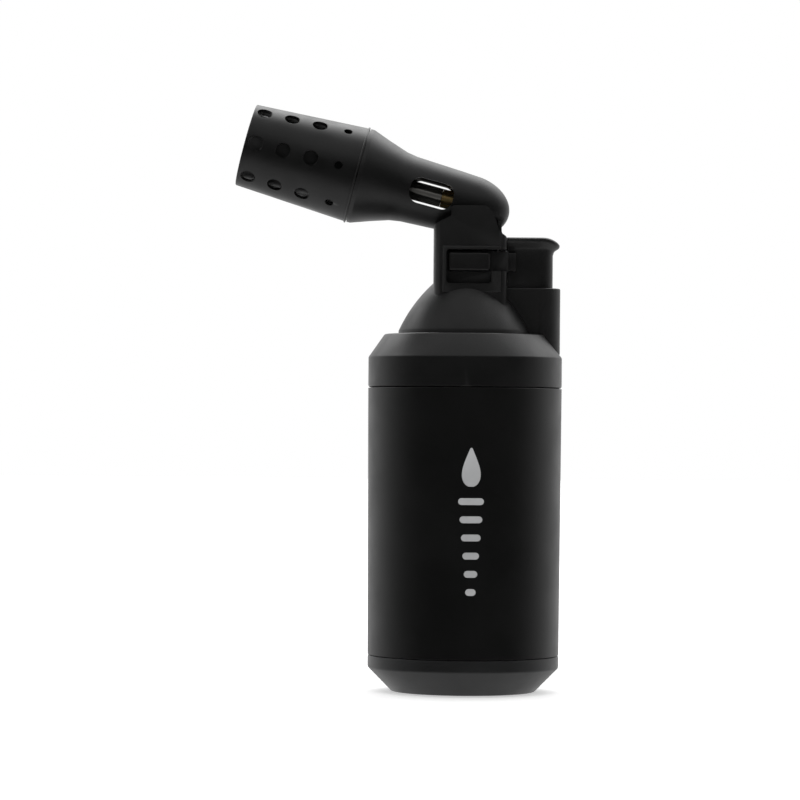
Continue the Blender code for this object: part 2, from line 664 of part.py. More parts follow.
def make_trigger():
    levels = [(99.8, 0), (110.8, 0), (112.4, 0.3), (113.4, 1.1), (114.0, 1.6), (114.8, 1.75),
              (115.1, 1.3), (TRIGGER_TOP_Z, 0.7)]
    trigger = loft("ignition_trigger", [trigger_ring(*level) for level in levels], "matt_black")
    bridge = box("arm_bridge", (9.95, -6.6, 106.6), (12.6, 6.6, 111.2))
    join(trigger, bridge)
    toe_low = LEVER_PIN_Z + TRIGGER_TRAVEL / 2 + 0.8
    for tag, side in SIDES:
        near, far = sorted((side * ARM_INNER_Y, side * ARM_OUTER_Y))
        arm = prism("arm_plate_" + tag, [
            (-5.4, 103.4), (8.2, 103.4), (8.2, 106.3), (10.6, 106.3), (10.6, ARM_TOP_Z),
            (-5.4, ARM_TOP_Z),
        ], near, far, side_view=True)
        near, far = sorted((side * 6.1, side * 9.4))
        pad = box("arm_pad_" + tag, (-4.6, near, 106.4), (5.95, far, 111.3), bevel=0.5)
        near, far = sorted((side * 6.4, side * 7.3))
        toe = box("arm_toe_" + tag, (-3.8, near, toe_low), (-2.7, far, 104.5))
        join(trigger, arm, pad, toe)
    hollow = prism("trigger_hollow", nosed_outline(11.9, 21.0, 3.5, 3.0), 98, 111)
    cut(trigger, hollow)


def make_piezo():
    piezo = prism("piezo_body", rounded_rectangle((12.9, -3.0), (19.5, 3.0), 1.0, 2), 84.6, 100.0,
                  "white_plastic")
    bore = rod("piezo_bore", 2.4, 90.0, 104, (PIEZO_X, 0, 0), along="Z")
    cut(piezo, bore)
    turned("piezo_plunger", [(0, 110.7), (2.1, 110.7), (2.1, 94.0), (1.6, 93.5), (0, 93.5)],
           SEG_SMALL, "white_plastic", at=(PIEZO_X, 0, 0))
    wire("trigger_spring", coil_points(2.8, 100.6, 110.4, 5), 0.28, "steel", at=(PIEZO_X, 0, 0))


# ------------------------------------------------------------------ gas valves
def make_valve():
    body = turned("gas_valve_body", [
        (1.1, 96.0), (3.2, 96.0), (3.2, 88.0), (5.6, 88.0), (5.6, 86.3), (3.7, 86.3), (3.7, 72.0),
        (2.6, 71.0), (2.6, 3.6), (1.65, 3.6), (1.65, 13.5), (0.8, 14.5), (0.8, 76.8), (2.4, 76.8),
        (2.4, 93.0), (1.1, 93.0),
    ], SEG_SMALL, "brass", at=(VALVE_X, 0, 0))
    ports = rod("inlet_ports", 0.6, -6, 6, (VALVE_X, 0, 20), 8)
    cut(body, ports)
    turned("valve_stem", [
        (0.35, 105.9), (0.7, 105.9), (0.9, 105.5), (0.9, STEM_FLANGE_Z + 0.8),
        (2.2, STEM_FLANGE_Z + 0.8), (2.2, STEM_FLANGE_Z), (0.75, STEM_FLANGE_Z), (0.75, 80.4),
        (2.0, 80.4), (2.0, 78.2), (0.35, 78.2),
    ], SEG_TINY, "brass", at=(VALVE_X, 0, 0))
    turned("valve_seal", [(0, 77.9), (2.0, 77.9), (2.0, 77.1), (0, 77.1)], SEG_TINY, "rubber",
           at=(VALVE_X, 0, 0))
    wire("valve_spring", coil_points(1.6, 80.95, 92.45, 5), 0.2, "steel", at=(VALVE_X, 0, 0))
    knob = turned("flow_adjuster", [
        (0, 12.0), (1.0, 12.0), (1.3, 11.4), (1.3, 3.3), (2.7, 3.3), (2.7, 1.0), (2.5, 0.8), (0, 0.8),
    ], SEG_SMALL, "brass", at=(VALVE_X, 0, 0))
    slot = box("adjuster_slot", (VALVE_X - 4, -0.4, 0), (VALVE_X + 4, 0.4, 1.7))
    cut(knob, slot)


def make_lever():
    """Rocker: the trigger's arms press its front bar, its fork lifts the stem."""
    x, z = LEVER_PIN_X, LEVER_PIN_Z
    bar_x, bar_z = x - LEVER_ARM, z + TRIGGER_TRAVEL / 2
    side = [(x + 0.2, z + 0.9), (bar_x, bar_z + 0.4), (bar_x, bar_z - 0.4), (x - 0.2, z - 0.9)]
    lever = prism("valve_lever", side, -2.2, 2.2, "steel", side_view=True)
    bar = box("front_bar", (bar_x - 0.6, -7.3, bar_z - 0.5), (bar_x + 0.6, 7.3, bar_z + 0.5))
    barrel = rod("lever_barrel", 1.4, -3.2, 3.2, (x, 0, z))
    fork = box("lever_fork", (x - 0.4, -2.6, z + 0.7), (x + 3.0, 2.6, z + 1.6))
    slot = box("fork_slot", (x + 1.3, -1.2, z - 0.2), (x + 5, 1.2, z + 3))
    hole = rod("lever_hole", 1.0, -4, 4, (x, 0, z), SEG_TINY)
    join(lever, bar, barrel, fork)
    cut(lever, slot, hole)
    rod("lever_pin", 0.7, -7.2, 7.2, (x, 0, z), SEG_TINY, "steel")


def make_refill():
    turned("refill_valve_body", [
        (1.0, 14.0), (3.1, 14.0), (3.1, 2.2), (4.2, 2.2), (4.2, 1.4), (2.4, 1.4), (2.2, 0.6), (1.1, 0.6),
        (1.1, 5.0), (2.3, 5.0), (2.3, 13.0), (1.0, 13.0),
    ], SEG_SMALL, "brass", at=(REFILL_X, 0, 0))
    turned("refill_stem", [
        (0, 7.0), (1.9, 7.0), (1.9, 5.5), (0.75, 5.5), (0.75, 0.9), (0, 0.9),
    ], SEG_TINY, "nickel", at=(REFILL_X, 0, 0))
    wire("refill_spring", coil_points(1.6, 7.6, 12.4, 3), 0.2, "steel", at=(REFILL_X, 0, 0))
    turned("refill_seal", [(3.4, 3.0), (4.2, 3.0), (4.2, 2.5), (3.4, 2.5)], SEG_SMALL, "rubber",
           at=(REFILL_X, 0, 0))


# ------------------------------------------------------------------ finishing
def shade_round_pieces():
    for part in bpy.data.collections[COLLECTION].objects:
        if part.type == "MESH":
            part.data.shade_smooth()
            part.data.set_sharp_from_angle(angle=math.radians(35))


def main():
    clear_scene()
    new_collection(COLLECTION)
    new_collection(CUTTERS)
    make_materials()
    burner = burner_frame()
    make_base_cap()
    make_sleeve()
    make_shoulder_ring(prism("ring_notch", column_outline(0.35), 85.2, 96))
    make_tank()
    make_head(burner)
    make_screw("shell_screw", SHELL_SCREW, 2.0, 7.8, 9.2, -7.0)
    make_screw("housing_screw", HOUSING_SCREW, 1.7, 8.5, 9.4, -7.6)
    make_housing(burner)
    make_flame_tube(burner)
    make_burner_inside(burner)
    make_wires_and_hose()
    make_trigger()
    make_piezo()
    make_valve()
    make_lever()
    make_refill()
    shade_round_pieces()


main()
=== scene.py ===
"""Visual model of a refillable butane torch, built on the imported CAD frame.

Lengths are in millimetres until a mesh is finished; the frame is in metres.
+Z is up, the burner points towards -X and the camera looks along +Y.
"""

import json
import math

import bmesh
import bpy
from mathutils import Matrix, Vector

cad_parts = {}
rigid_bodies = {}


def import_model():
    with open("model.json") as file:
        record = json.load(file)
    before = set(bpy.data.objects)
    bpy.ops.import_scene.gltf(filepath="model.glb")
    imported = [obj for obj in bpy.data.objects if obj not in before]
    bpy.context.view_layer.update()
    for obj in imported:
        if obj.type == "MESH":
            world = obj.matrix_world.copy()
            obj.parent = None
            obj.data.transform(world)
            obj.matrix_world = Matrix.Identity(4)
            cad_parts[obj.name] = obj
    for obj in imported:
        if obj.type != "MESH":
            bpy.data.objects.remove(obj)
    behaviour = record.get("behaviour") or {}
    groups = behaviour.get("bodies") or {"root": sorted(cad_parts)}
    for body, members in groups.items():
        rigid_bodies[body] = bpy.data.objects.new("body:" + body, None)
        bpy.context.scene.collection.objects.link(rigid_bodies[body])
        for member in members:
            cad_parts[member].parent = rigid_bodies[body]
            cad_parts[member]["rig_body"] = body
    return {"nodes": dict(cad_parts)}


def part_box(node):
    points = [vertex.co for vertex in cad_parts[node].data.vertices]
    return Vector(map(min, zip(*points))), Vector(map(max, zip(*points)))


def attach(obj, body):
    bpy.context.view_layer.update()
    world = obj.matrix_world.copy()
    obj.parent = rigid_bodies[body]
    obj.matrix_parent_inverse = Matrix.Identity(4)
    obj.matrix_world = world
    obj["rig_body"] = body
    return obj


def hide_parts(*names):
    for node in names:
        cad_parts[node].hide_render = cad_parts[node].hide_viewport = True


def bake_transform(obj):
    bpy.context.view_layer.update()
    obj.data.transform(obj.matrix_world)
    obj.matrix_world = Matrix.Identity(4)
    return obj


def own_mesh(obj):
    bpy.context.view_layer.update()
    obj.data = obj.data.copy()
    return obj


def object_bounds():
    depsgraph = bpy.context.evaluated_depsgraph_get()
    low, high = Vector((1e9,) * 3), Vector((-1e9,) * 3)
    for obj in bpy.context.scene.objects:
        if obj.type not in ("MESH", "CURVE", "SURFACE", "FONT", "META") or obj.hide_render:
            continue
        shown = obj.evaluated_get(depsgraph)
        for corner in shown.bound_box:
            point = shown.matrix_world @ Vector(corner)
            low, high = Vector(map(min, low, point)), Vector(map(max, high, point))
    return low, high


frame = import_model()
cad_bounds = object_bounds()

MM = 0.001
NODES = frame["nodes"]
SLOT_OF = {name: node.data.materials[0].name for name, node in NODES.items()}
BODY_OF = {name: node["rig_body"] for name, node in NODES.items()}


def low(node):
    """Lowest corner of a CAD node at rest, in millimetres."""
    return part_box(node)[0] / MM


def high(node):
    """Highest corner of a CAD node at rest, in millimetres."""
    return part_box(node)[1] / MM


def middle(node):
    return (low(node) + high(node)) / 2


# Upright axis of the tank, and the slanted axis of the burner: its local +Z runs to the
# flame, and its origin is the seam between the housing and the flame tube.
BODY = Matrix.Translation((middle("outer_sleeve").x, middle("outer_sleeve").y, low("base_cap").z))
HOLDER_STATION = 6.9  # from that seam to the flame holder
BURNER_WAY = (middle("flame_holder") - middle("mixing_tube")).normalized()
SEAM = middle("flame_holder") - BURNER_WAY * HOLDER_STATION
TILT = math.atan2(BURNER_WAY.z, -BURNER_WAY.x)
BURNER = Matrix.Translation(SEAM) @ Matrix.Rotation(TILT - math.pi / 2, 4, "Y")
VALVE = Matrix.Translation((middle("flow_adjuster").x, 0, low("base_cap").z))
REFILL = Matrix.Translation((middle("refill_stem").x, 0, low("base_cap").z))
PIEZO = Matrix.Translation((middle("piezo_plunger").x, 0, 0))
SHELL_SCREW = middle("shell_screw")
HOUSING_SCREW = middle("housing_screw")
LEVER_PIN = middle("lever_pin")

# Sizes that pieces or their cuts share, in millimetres.
GAP = 0.3  # clearance between moulded pieces
SLEEVE_FOOT_R, SLEEVE_TOP_R = 24.25, 24.6
SLEEVE_FOOT_Z, SLEEVE_TOP_Z = 9.75, 76.45
SEAM_R = 12.2  # outer radius where the housing meets the flame tube
MOUTH_R = 10.55  # outer radius of the tube's open end
ELECTRODE_SPOT = 3.7  # its x and y from the burner's axis
FAR = 12  # past both sides of the neck and arm, for cutters


# ------------------------------------------------------------------ materials
def add(tree, kind, **settings):
    node = tree.nodes.new(kind)
    for key, value in settings.items():
        setattr(node, key, value)
    return node


def noise(tree, coords, scale, detail, stretch=None):
    made = add(tree, "ShaderNodeTexNoise")
    made.inputs["Scale"].default_value = scale
    made.inputs["Detail"].default_value = detail
    if stretch:
        mapping = add(tree, "ShaderNodeMapping")
        mapping.inputs["Scale"].default_value = stretch
        tree.links.new(coords, mapping.inputs["Vector"])
        coords = mapping.outputs["Vector"]
    tree.links.new(coords, made.inputs["Vector"])
    return made.outputs["Fac"]


def spread(tree, source, start, end, first, last):
    """Smooth step from first to last while source goes from start to end."""
    made = add(tree, "ShaderNodeMapRange", interpolation_type="SMOOTHSTEP")
    for key, value in (("From Min", start), ("From Max", end), ("To Min", first), ("To Max", last)):
        made.inputs[key].default_value = value
    tree.links.new(source, made.inputs["Value"])
    return made.outputs["Result"]


def blend_colour(tree, factor, first, second):
    """Mix of two colours; either may be a link."""
    made = add(tree, "ShaderNodeMix", data_type="RGBA")
    tree.links.new(factor, made.inputs["Factor"])
    for socket, value in ((made.inputs[6], first), (made.inputs[7], second)):
        if isinstance(value, tuple):
            socket.default_value = (*value, 1.0)
        else:
            tree.links.new(value, socket)
    return made.outputs[2]


def finish(name, dark, light, rough, metallic=0.0, grain=2600, relief=0.25, patch=70, stretch=None,
           worn=None, mark=None):
    """Moulded, painted or turned surface.

    dark and light are the ends of its colour variation, rough the ends of its roughness,
    grain and patch the texture scales per metre, relief the strength of the bump, stretch a
    direction for drawn or brushed grain, worn the colour of rubbed edges, and mark a function
    that tints the colour by place.
    """
    bump_depth = 0.00006
    blotches_per_patch = 2.3
    material = bpy.data.materials.new(name)
    material.use_nodes = True
    tree = material.node_tree
    shader = tree.nodes["Principled BSDF"]
    coords = add(tree, "ShaderNodeTexCoord").outputs["Object"]
    colour = blend_colour(tree, spread(tree, noise(tree, coords, patch, 5), 0.35, 0.65, 0, 1),
                          dark, light)
    if mark:
        colour = mark(tree, coords, colour)
    if worn:
        edge = add(tree, "ShaderNodeNewGeometry").outputs["Pointiness"]
        colour = blend_colour(tree, spread(tree, edge, 0.53, 0.62, 0, 0.5), colour, worn)
    tree.links.new(colour, shader.inputs["Base Color"])
    blotches = noise(tree, coords, patch * blotches_per_patch, 4, stretch)
    tree.links.new(spread(tree, blotches, 0.3, 0.7, *rough), shader.inputs["Roughness"])
    bump = add(tree, "ShaderNodeBump")
    bump.inputs["Strength"].default_value = relief
    bump.inputs["Distance"].default_value = bump_depth
    tree.links.new(noise(tree, coords, grain, 3, stretch), bump.inputs["Height"])
    tree.links.new(bump.outputs["Normal"], shader.inputs["Normal"])
    shader.inputs["Metallic"].default_value = metallic
    return material


def grey(value, cool=0.0):
    """Grey, shifted from red towards blue by the share cool."""
    return (value * (1 - cool), value, value * (1 + cool))


def vector_math(tree, operation, first, second=None):
    made = add(tree, "ShaderNodeVectorMath", operation=operation)
    tree.links.new(first, made.inputs[0])
    if second is not None:
        made.inputs[1].default_value = second
    return made


def heat_tint(tree, coords, colour):
    """Straw, then blue oxide towards the hot end, only on the burner's inner side."""
    straw, blue = (0.20, 0.12, 0.055), (0.060, 0.075, 0.14)
    inner_side = (0.00785, 0.0080)
    straw_from, straw_full, strongest = 0.004, 0.014, 0.8
    blue_from, blue_full = 0.013, 0.024
    from_seam = vector_math(tree, "SUBTRACT", coords, SEAM * MM).outputs["Vector"]
    along = vector_math(tree, "DOT_PRODUCT", from_seam, BURNER_WAY).outputs["Value"]
    crossed = vector_math(tree, "CROSS_PRODUCT", from_seam, BURNER_WAY).outputs["Vector"]
    radius = vector_math(tree, "LENGTH", crossed).outputs["Value"]
    inside = add(tree, "ShaderNodeMath", operation="MULTIPLY")
    tree.links.new(spread(tree, radius, *inner_side, 1.0, 0.0), inside.inputs[0])
    tree.links.new(spread(tree, along, straw_from, straw_full, 0.0, strongest), inside.inputs[1])
    tinted = blend_colour(tree, spread(tree, along, blue_from, blue_full, 0.0, 1.0), straw, blue)
    return blend_colour(tree, inside.outputs[0], colour, tinted)


def make_materials():
    turned_grain = (1, 1, 14)
    return {
        "base_plastic": finish("base_plastic", grey(0.0120, 0.03), grey(0.0165, 0.03), (0.36, 0.44),
                               grain=3200, relief=0.35, worn=grey(0.02)),
        "sleeve_metal": finish("sleeve_metal", grey(0.0018), grey(0.0028), (0.36, 0.43),
                               grain=4200, relief=0.22, patch=45),
        "ring_plastic": finish("ring_plastic", grey(0.0030, 0.02), grey(0.0050, 0.02), (0.33, 0.41),
                               grain=3200, relief=0.35, worn=grey(0.02)),
        "head_plastic": finish("head_plastic", grey(0.0056), grey(0.0086), (0.38, 0.47),
                               grain=3000, relief=0.40, worn=grey(0.02)),
        "housing_plastic": finish("housing_plastic", grey(0.0038), grey(0.0060), (0.33, 0.41),
                                  grain=3400, relief=0.30, worn=grey(0.018)),
        "trigger_plastic": finish("trigger_plastic", grey(0.0050), grey(0.0078), (0.34, 0.44),
                                  grain=3000, relief=0.35, worn=grey(0.022)),
        "flame_tube_metal": finish("flame_tube_metal", grey(0.0034), grey(0.0060), (0.30, 0.40),
                                   grain=3800, relief=0.22, patch=90, worn=grey(0.05)),
        "tank_plastic": finish("tank_plastic", grey(0.24, 0.02), grey(0.30, 0.02), (0.30, 0.40)),
        "piezo_plastic": finish("piezo_plastic", (0.60, 0.59, 0.55), (0.68, 0.67, 0.63), (0.38, 0.46)),
        "wire_insulation": finish("wire_insulation", (0.020, 0.018, 0.017), (0.030, 0.027, 0.025),
                                  (0.42, 0.52)),
        "seal_rubber": finish("seal_rubber", grey(0.014), grey(0.021), (0.68, 0.80), relief=0.5),
        "hose_rubber": finish("hose_rubber", grey(0.018), grey(0.026), (0.50, 0.62), relief=0.4),
        "valve_brass": finish("valve_brass", (0.66, 0.46, 0.19), (0.80, 0.60, 0.27), (0.20, 0.32),
                              metallic=1.0, stretch=turned_grain, relief=0.30),
        "burner_brass": finish("burner_brass", (0.33, 0.22, 0.10), (0.48, 0.34, 0.15), (0.32, 0.46),
                               metallic=1.0, relief=0.35, mark=heat_tint),
        "plated_tube": finish("plated_tube", (0.74, 0.72, 0.67), (0.82, 0.80, 0.76), (0.12, 0.22),
                              metallic=1.0, stretch=turned_grain, relief=0.25),
        "electrode_nickel": finish("electrode_nickel", (0.56, 0.54, 0.50), (0.68, 0.66, 0.62),
                                   (0.22, 0.34), metallic=1.0, relief=0.25),
        "burner_steel": finish("burner_steel", grey(0.040), grey(0.065), (0.42, 0.55), metallic=0.6,
                               relief=0.30, mark=heat_tint),
        "screw_steel": finish("screw_steel", grey(0.06), grey(0.10), (0.32, 0.44), metallic=1.0,
                              relief=0.30, worn=grey(0.35)),
        "lever_steel": finish("lever_steel", grey(0.42), grey(0.52), (0.28, 0.40), metallic=1.0,
                              stretch=(1, 12, 1), relief=0.30),
        "spring_steel": finish("spring_steel", grey(0.46), grey(0.58), (0.22, 0.34), metallic=1.0),
        "insulator_ceramic": finish("insulator_ceramic", (0.70, 0.67, 0.60), (0.78, 0.75, 0.69),
                                    (0.26, 0.38), grain=1800, relief=0.2),
        "print_ink": finish("print_ink", grey(0.42, 0.01), grey(0.50, 0.01), (0.42, 0.52), relief=0.3),
        "floor_paper": finish("floor_paper", grey(0.86), grey(0.90), (0.85, 0.92), grain=500,
                              relief=0.05, patch=3),
    }


# ------------------------------------------------------------------ mesh tools
def mesh_of(work, name):
    bmesh.ops.recalc_face_normals(work, faces=work.faces)
    made = bpy.data.meshes.new(name)
    work.to_mesh(made)
    work.free()
    return made


def soften(points, radius, closed=False, steps=3):
    """Outline with its corners rounded, as far as its sides leave room."""
    least_turn = math.radians(12)
    most_of_side = 0.45
    made = []
    count = len(points)
    for i, point in enumerate(points):
        if not closed and i in (0, count - 1):
            made.append(point)
            continue
        corner = Vector(point)
        before, after = Vector(points[i - 1]) - corner, Vector(points[(i + 1) % count]) - corner
        turn = math.pi - before.angle(after)
        if turn < least_turn:
            made.append(point)
            continue
        reach = min(radius * math.tan(turn / 2), before.length * most_of_side,
                    after.length * most_of_side)
        first, last = corner + before.normalized() * reach, corner + after.normalized() * reach
        for step in range(steps + 1):
            t = step / steps
            blended = first * (1 - t) ** 2 + corner * 2 * t * (1 - t) + last * t ** 2
            made.append(tuple(blended))
    return made


def arc(centre, radius, start, end, steps):
    """Points of an arc between two bearings in degrees."""
    angles = [math.radians(start + (end - start) * i / steps) for i in range(steps + 1)]
    return [(centre[0] + radius * math.cos(a), centre[1] + radius * math.sin(a)) for a in angles]


def divided(points, step):
    """Outline with extra points so that no side is longer than step."""
    made = [points[0]]
    for start, end in zip(points, points[1:]):
        parts = max(1, math.ceil((Vector(end) - Vector(start)).length / step))
        made += [tuple(Vector(start).lerp(Vector(end), i / parts)) for i in range(1, parts + 1)]
    return made


def lathe(outline, segments):
    """Solid of revolution about local Z from (radius, z) points, open only along the axis."""
    on_axis = 1e-6
    work = bmesh.new()
    closed = outline[0][0] > on_axis or outline[-1][0] > on_axis
    rings = []
    for radius, z in outline:
        if radius < on_axis:
            rings.append([work.verts.new((0, 0, z))] * segments)
            continue
        turns = [2 * math.pi * i / segments for i in range(segments)]
        rings.append([work.verts.new((radius * math.cos(a), radius * math.sin(a), z)) for a in turns])
    pairs = list(zip(rings, rings[1:])) + ([(rings[-1], rings[0])] if closed else [])
    for near, far in pairs:
        for i in range(segments):
            j = (i + 1) % segments
            corners = list(dict.fromkeys((near[i], near[j], far[j], far[i])))
            if len(corners) > 2:
                work.faces.new(corners)
    return mesh_of(work, "lathe")


def prism(outline, start, end, side_view=False):
    """Plan outline (x, y) raised along Z, or side outline (x, z) drawn out along Y."""
    work = bmesh.new()
    levels = []
    for level in (start, end):
        levels.append([work.verts.new((a, level, b) if side_view else (a, b, level))
                       for a, b in outline])
    count = len(outline)
    work.faces.new(levels[0])
    work.faces.new(levels[1])
    for i in range(count):
        j = (i + 1) % count
        work.faces.new((levels[0][i], levels[0][j], levels[1][j], levels[1][i]))
    return mesh_of(work, "prism")


def block(corner, opposite):
    """Box between two opposite corners."""
    return prism([(corner[0], corner[1]), (opposite[0], corner[1]), (opposite[0], opposite[1]),
                  (corner[0], opposite[1])], corner[2], opposite[2])


def bar(radius, start, end, way="Z", segments=32):
    made = lathe([(0, start), (radius, start), (radius, end), (0, end)], segments)
    if way == "Y":
        made.transform(Matrix.Rotation(-math.pi / 2, 4, "X"))
    return made


def sweep(points, radius, sides=16):
    """Round bar along a list of points."""
    work = bmesh.new()
    points = [Vector(p) for p in points]
    ahead = (points[1] - points[0]).normalized()
    across = ahead.orthogonal().normalized()
    rings = []
    for i, point in enumerate(points):
        way = (points[min(i + 1, len(points) - 1)] - points[max(i - 1, 0)]).normalized()
        across = (ahead.rotation_difference(way) @ across).normalized()
        ahead = way
        other = way.cross(across)
        rings.append([work.verts.new(point + (across * math.cos(a) + other * math.sin(a)) * radius)
                      for a in (2 * math.pi * k / sides for k in range(sides))])
    for near, far in zip(rings, rings[1:]):
        for k in range(sides):
            m = (k + 1) % sides
            work.faces.new((near[k], near[m], far[m], far[k]))
    work.faces.new(rings[0])
    work.faces.new(rings[-1])
    return mesh_of(work, "sweep")


def smooth_route(points, per_span):
    """Catmull-Rom curve through the points."""
    points = [Vector(p) for p in points]
    padded = [points[0] * 2 - points[1]] + points + [points[-1] * 2 - points[-2]]
    route = []
    for a, b, c, d in zip(padded, padded[1:], padded[2:], padded[3:]):
        for i in range(per_span):
            t = i / per_span
            route.append((2 * b + (c - a) * t + (2 * a - 5 * b + 4 * c - d) * t * t
                          + (3 * b - 3 * c + d - a) * t ** 3) / 2)
    return route + [points[-1]]


def coil(radius, start, end, turns, per_turn=28):
    """Compression spring's centre line, with closed ends."""
    closed_share = 0.08
    made = []
    total = int(turns * per_turn)
    for i in range(total + 1):
        share = i / total
        rise = min(max((share - closed_share) / (1 - 2 * closed_share), 0), 1)
        angle = 2 * math.pi * turns * share
        made.append((radius * math.cos(angle), radius * math.sin(angle), start + (end - start) * rise))
    return made


def thing(mesh, matrix=None):
    """Object in millimetres, used as a shape or a cutter while modelling."""
    made = bpy.data.objects.new("shape", mesh)
    bpy.context.scene.collection.objects.link(made)
    if matrix:
        mesh.transform(matrix)
    return made


def rounded(made, width, segments=2):
    """The same object with its sharp edges rounded off."""
    edges = made.modifiers.new("edges", "BEVEL")
    edges.width = width
    edges.segments = segments
    edges.limit_method = "ANGLE"
    edges.angle_limit = math.radians(35)
    settle(made)
    return made


def settle(made):
    """Applies an object's modifiers to its own mesh."""
    graph = bpy.context.evaluated_depsgraph_get()
    old = made.data
    made.data = bpy.data.meshes.new_from_object(made.evaluated_get(graph))
    made.modifiers.clear()
    bpy.data.meshes.remove(old)


def combine(made, tools, operation):
    for tool in tools:
        step = made.modifiers.new("step", "BOOLEAN")
        step.operation = operation
        step.solver = "EXACT"
        step.object = tool
    settle(made)
    for tool in tools:
        bpy.data.objects.remove(tool, do_unlink=True)
    return made


def join(made, *tools):
    return combine(made, tools, "UNION")


def cut(made, *tools):
    return combine(made, tools, "DIFFERENCE")


def smooth(mesh, crease=32):
    """Smooth shading, with edges sharper than crease degrees left crisp."""
    mesh.shade_smooth()
    mesh.set_sharp_from_angle(angle=math.radians(crease))


MATERIALS = make_materials()


def piece(name, shape, node, matrix=Matrix.Identity(4), blended=False):
    """Finished piece that stands for a CAD node: it takes its place, body and finish."""
    weld = 0.0005
    made = shape if isinstance(shape, bpy.types.Object) else thing(shape)
    made.name = name
    made.data.name = name
    work = bmesh.new()
    work.from_mesh(made.data)
    bmesh.ops.remove_doubles(work, verts=work.verts, dist=weld)
    bmesh.ops.dissolve_degenerate(work, edges=work.edges, dist=weld)
    work.to_mesh(made.data)
    work.free()
    made.data.transform(Matrix.Scale(MM, 4) @ matrix)
    made.data.materials.clear()
    made.data.materials.append(MATERIALS[SLOT_OF[node]])
    smooth(made.data)
    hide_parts(node)
    if not blended:
        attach(made, BODY_OF[node])
    return made


def rounded_rectangle(corner, opposite, radius, steps=8):
    (x0, y0), (x1, y1) = corner, opposite
    made = []
    for centre, start in (((x1 - radius, y1 - radius), 0), ((x0 + radius, y1 - radius), 90),
                          ((x0 + radius, y0 + radius), 180), ((x1 - radius, y0 + radius), 270)):
        made += arc(centre, radius, start, start + 90, steps)
    return made


def nosed(front, back, half, nose, steps=14):
    """Plan outline with a square front and a round back."""
    return ([(front, -half), (front, half)] + arc((back - nose, half - nose), nose, 90, 0, steps)
            + arc((back - nose, nose - half), nose, 0, -90, steps))


def merged(meshes):
    """One mesh out of several separate ones."""
    work = bmesh.new()
    for mesh in meshes:
        work.from_mesh(mesh)
    return mesh_of(work, "merged")


def moved(mesh, x=0.0, y=0.0, z=0.0, matrix=Matrix.Identity(4)):
    mesh.transform(Matrix.Translation((x, y, z)) @ matrix)
    return mesh


def crossbar(radius, start, end, spot):
    """Bar along Y through a spot in the side view."""
    return moved(bar(radius, start, end, "Y"), spot.x, 0, spot.z)


def copy_of(made):
    other = made.copy()
    other.data = made.data.copy()
    bpy.context.scene.collection.objects.link(other)
    return other


# ------------------------------------------------------------------ body
def flow_wedge():
    """Curved wedge beside the flame adjuster, from least flow to most."""
    inner_r, outer_r = 4.6, 6.3
    first, last = 205, 335
    taper = 0.0115  # lost from the outer radius for each degree
    wedge = arc((0, 0), inner_r, first, last, 24)
    for degrees in range(last, first - 1, -6):
        radius = outer_r - taper * (last - degrees)
        wedge.append((math.cos(math.radians(degrees)) * radius,
                      math.sin(math.radians(degrees)) * radius))
    return wedge


def make_body():
    cap = thing(lathe(soften([
        (0, 3.0), (19.2, 3.0), (22.1, 6.5), (22.1, 12.5), (23.1, 12.5), (23.1, 9.2),
        (SLEEVE_FOOT_R, 9.2), (SLEEVE_FOOT_R, 6.1), (18.2, 0), (0, 0)], 0.9), 144))
    refill_x = (REFILL.translation - BODY.translation).x
    valve_x = (VALVE.translation - BODY.translation).x
    lead_in = 0.35
    wells = []
    for x, radius in ((refill_x, 4.6), (valve_x, 3.2)):
        well = lathe([(0, -1), (radius + lead_in, -1), (radius + lead_in, 0), (radius, lead_in),
                      (radius, 4), (0, 4)], 72)
        wells.append(thing(moved(well, x)))
    engraved = 0.25
    less_flow = block((-1.1, 6.2, -1), (1.1, 6.7, engraved))
    marks = [moved(mesh, valve_x) for mesh in (prism(flow_wedge(), -1, engraved), less_flow)]
    cut(cap, *wells, *[thing(mesh) for mesh in marks])
    piece("foot_cap", cap, "base_cap", BODY)
    sleeve = divided([(SLEEVE_TOP_R - 0.08, 76.9), (SLEEVE_TOP_R, 76.82), (SLEEVE_FOOT_R, 9.38),
                      (SLEEVE_FOOT_R - 0.08, 9.3)], 6)
    piece("sleeve", lathe([(23.4, 76.9)] + sleeve + [(23.4, 9.3)], 192), "outer_sleeve", BODY)
    shoulder = thing(lathe(soften([
        (17.3, 90.6), (20.5, 90.6), (SLEEVE_TOP_R, 84.7), (SLEEVE_TOP_R, 77), (23.1, 77), (23.1, 73.5),
        (21.9, 73.5), (21.9, 84.2), (20.2, 87.4), (17.3, 87.4)], 0.8, closed=True), 192))
    notch = thing(prism(nosed(8.0, 24.4, 6.55, 5.95), 85.2, 96))
    piece("shoulder", cut(shoulder, notch), "shoulder_ring", BODY)


